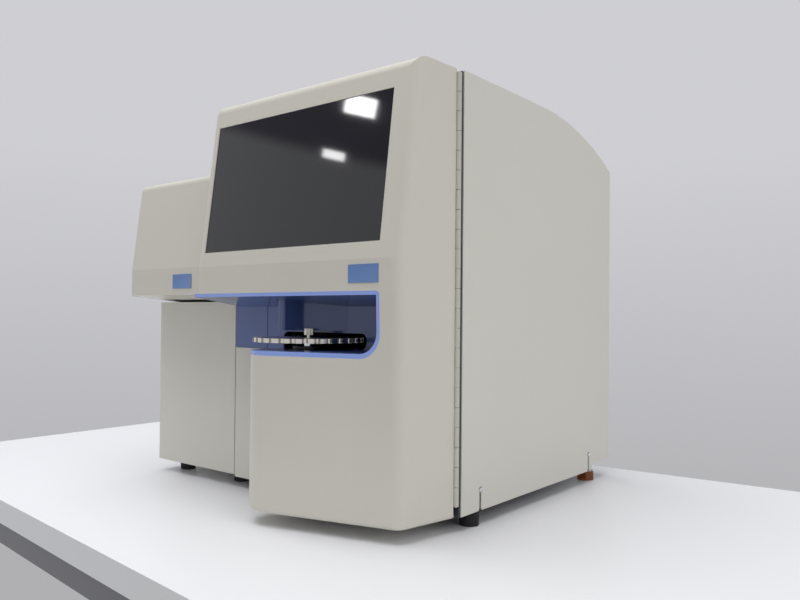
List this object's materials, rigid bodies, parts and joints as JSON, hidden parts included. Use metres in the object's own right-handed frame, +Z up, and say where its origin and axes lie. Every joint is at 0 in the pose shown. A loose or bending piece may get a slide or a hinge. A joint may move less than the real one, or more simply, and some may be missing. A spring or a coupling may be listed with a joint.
{
  "type": "cell culture analyzer",
  "caption": "Bench-top cell culture analyzer with a side module, a hinged C-shaped front door with a touch screen, and an open sampling bay over a notched carousel.",
  "frame": {"origin": "on the bench, below the middle of the overall box", "axes": "front faces -Y, +X to the viewer's right when facing the screen, +Z up"},
  "size_m": [0.6328, 0.616, 0.5968],
  "materials": {
    "housing_paint": "warm off-white semi-matt powder paint",
    "door_paint": "warm off-white semi-matt moulding",
    "bay_blue": "gloss dark blue",
    "screen_glass": "gloss dark glass",
    "dark_plastic": "matt black",
    "grey_plastic": "matt grey",
    "pale_plastic": "satin pale grey",
    "zinc_sheet": "zinc-plated sheet, satin",
    "stainless": "turned stainless steel",
    "hinge_steel": "plain rolled steel",
    "bright_steel": "ground bright",
    "clear_aluminium": "clear anodised",
    "rubber_black": "matt",
    "amber_rubber": "translucent amber",
    "board_green": "solder resist green",
    "pump_tubing": "soft translucent"
  },
  "bodies": {
    "cabinet": {"side_panel_right": "housing_paint", "side_panel_left": "housing_paint", "top_cover": "housing_paint", "base_pan": "zinc_sheet", "chassis_plate": "zinc_sheet", "rear_panel": "housing_paint", "front_feet": "rubber_black", "rear_feet": "amber_rubber", "panel_screws": "bright_steel", "hinge_leaf_cabinet": "hinge_steel", "hinge_pin": "bright_steel", "bay_wall": "bay_blue", "bay_end_wall": "bay_blue", "lower_fascia": "housing_paint", "sampler_hood": "bay_blue", "carousel_arm": "dark_plastic", "probe_bracket": "clear_aluminium", "guide_rod": "bright_steel", "probe_actuator": "dark_plastic", "pump_body_lower": "grey_plastic", "pump_body_upper": "grey_plastic", "pump_tubes": "pump_tubing", "sensor_manifold": "pale_plastic", "sensor_card_lower": "grey_plastic", "sensor_card_upper": "grey_plastic", "lever_pins": "bright_steel", "reagent_tray": "dark_plastic", "reagent_pack_left": "pale_plastic", "reagent_pack_right": "pale_plastic", "power_supply": "zinc_sheet", "board_shelf": "zinc_sheet", "control_board": "board_green", "fan_frame": "dark_plastic", "fan_guard": "bright_steel", "power_inlet": "dark_plastic", "data_ports": "bright_steel", "module_head": "door_paint", "module_case": "housing_paint", "module_front": "housing_paint", "module_rear": "housing_paint", "module_feet": "rubber_black", "module_core": "clear_aluminium"},
    "door": {"door_shell": "door_paint", "bay_liner": "bay_blue", "ceiling_end": "bay_blue", "display_glass": "screen_glass", "display_module": "zinc_sheet", "door_stiffener": "zinc_sheet", "hinge_leaf_door": "hinge_steel"},
    "carousel": {"carousel_disc": "stainless", "carousel_spindle": "bright_steel"},
    "knob": {"clamp_knob": "stainless"},
    "probe": {"probe_carriage": "clear_aluminium", "sample_probe": "bright_steel"},
    "pump_lower": {"pump_rotor_lower": "pale_plastic"},
    "pump_upper": {"pump_rotor_upper": "pale_plastic"},
    "latch_lower": {"card_lever_lower": "dark_plastic"},
    "latch_upper": {"card_lever_upper": "dark_plastic"},
    "fan": {"fan_rotor": "dark_plastic"},
    "rocker": {"power_rocker": "dark_plastic"}
  },
  "joints": [
    {"name": "door_hinge", "type": "hinge", "parent": "cabinet", "child": "door", "pos_m": [0.31065, -0.16395, 0.3132], "axis": [0, 0, 1], "range_deg": [0, 110]},
    {"name": "carousel_spin", "type": "hinge", "parent": "cabinet", "child": "carousel", "pos_m": [0.09115, -0.21395, 0.24], "axis": [0, 0, 1], "continuous": true},
    {"name": "knob_turn", "type": "hinge", "parent": "carousel", "child": "knob", "pos_m": [0.09115, -0.21395, 0.25], "axis": [0, 0, 1], "range_deg": [0, 360]},
    {"name": "probe_slide", "type": "slide", "parent": "cabinet", "child": "probe", "axis": [0, 0, -1], "range_m": [0, 0.026]},
    {"name": "pump_lower_spin", "type": "hinge", "parent": "cabinet", "child": "pump_lower", "pos_m": [0.23865, -0.17895, 0.359], "axis": [0, 1, 0], "continuous": true},
    {"name": "pump_upper_spin", "type": "hinge", "parent": "cabinet", "child": "pump_upper", "pos_m": [0.23865, -0.17895, 0.425], "axis": [0, 1, 0], "continuous": true},
    {"name": "latch_lower_turn", "type": "hinge", "parent": "cabinet", "child": "latch_lower", "pos_m": [0.17265, -0.19645, 0.359], "axis": [0, 1, 0], "range_deg": [0, 90]},
    {"name": "latch_upper_turn", "type": "hinge", "parent": "cabinet", "child": "latch_upper", "pos_m": [0.17265, -0.19645, 0.419], "axis": [0, 1, 0], "range_deg": [0, 90]},
    {"name": "fan_spin", "type": "hinge", "parent": "cabinet", "child": "fan", "pos_m": [0.20065, 0.29105, 0.41385], "axis": [0, 1, 0], "continuous": true},
    {"name": "mains_rocker", "type": "hinge", "parent": "cabinet", "child": "rocker", "pos_m": [-0.03935, 0.30105, 0.103], "axis": [1, 0, 0], "range_deg": [0, 16]}
  ]
}
